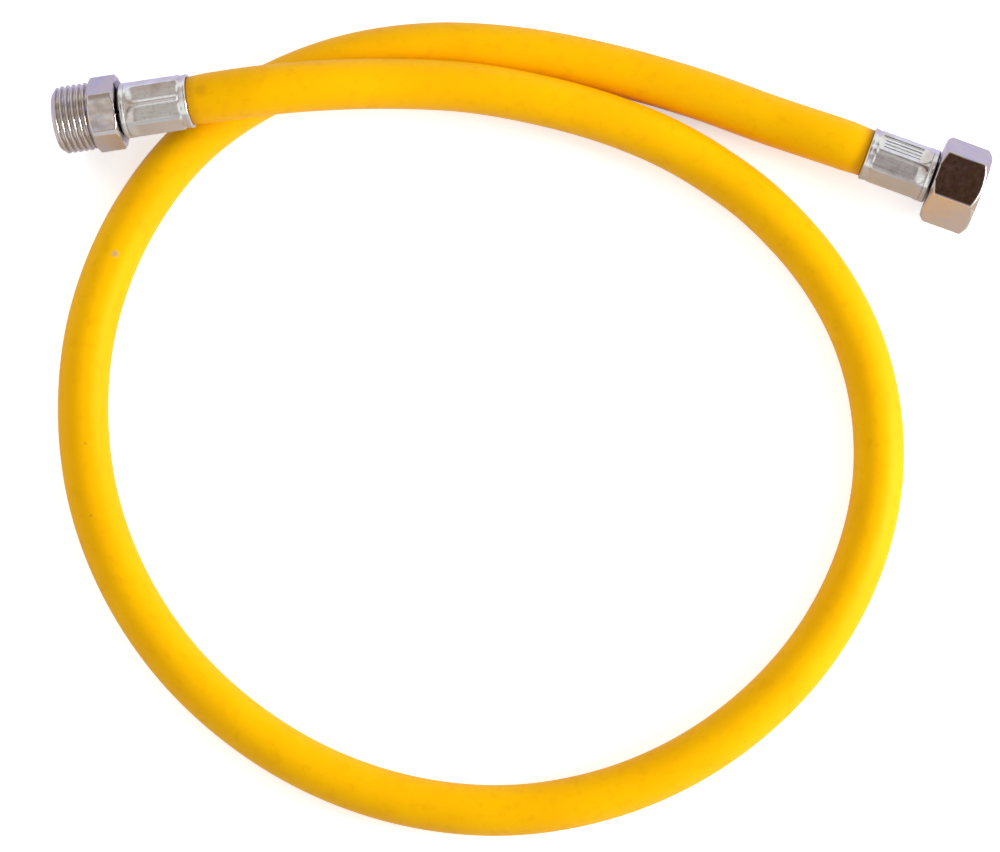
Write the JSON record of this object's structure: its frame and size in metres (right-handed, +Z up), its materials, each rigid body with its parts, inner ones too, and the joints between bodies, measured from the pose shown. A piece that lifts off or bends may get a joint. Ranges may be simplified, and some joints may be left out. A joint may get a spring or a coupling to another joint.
{
  "type": "flexible gas hose",
  "caption": "Rubber gas hose lying in one loop, with a crimped male pipe-thread fitting on one end and a crimped swivel nut on the other.",
  "frame": {"origin": "on the floor, midway between the two end fittings", "axes": "+X from the male fitting towards the swivel nut, +Z up from the floor that the hose lies on, the loop lies towards -Y"},
  "size_m": [0.291, 0.2533, 0.0319],
  "materials": {
    "hose_rubber": "smooth matt yellow rubber",
    "crimped_steel": "bright zinc plate with crimp marks",
    "nickel_plate": "nickel plate over brass",
    "seal_fibre": "dull black sealing rubber"
  },
  "bodies": {
    "hose_body": {"hose": "hose_rubber", "male_ferrule": "crimped_steel", "male_nipple": "nickel_plate", "nut_ferrule": "crimped_steel", "nut_stem": "nickel_plate"},
    "washer_body": {"sealing_washer": "seal_fibre"},
    "nut_body": {"swivel_nut": "nickel_plate"}
  },
  "joints": [
    {"name": "nut_slide", "type": "slide", "parent": "hose_body", "child": "washer_body", "axis": [0.9373, -0.3486, 0], "range_m": [0, 0.0025]},
    {"name": "nut_spin", "type": "hinge", "parent": "washer_body", "child": "nut_body", "pos_m": [0.1076, 0.0006, 0.012], "axis": [0.9373, -0.3486, 0], "continuous": true}
  ]
}
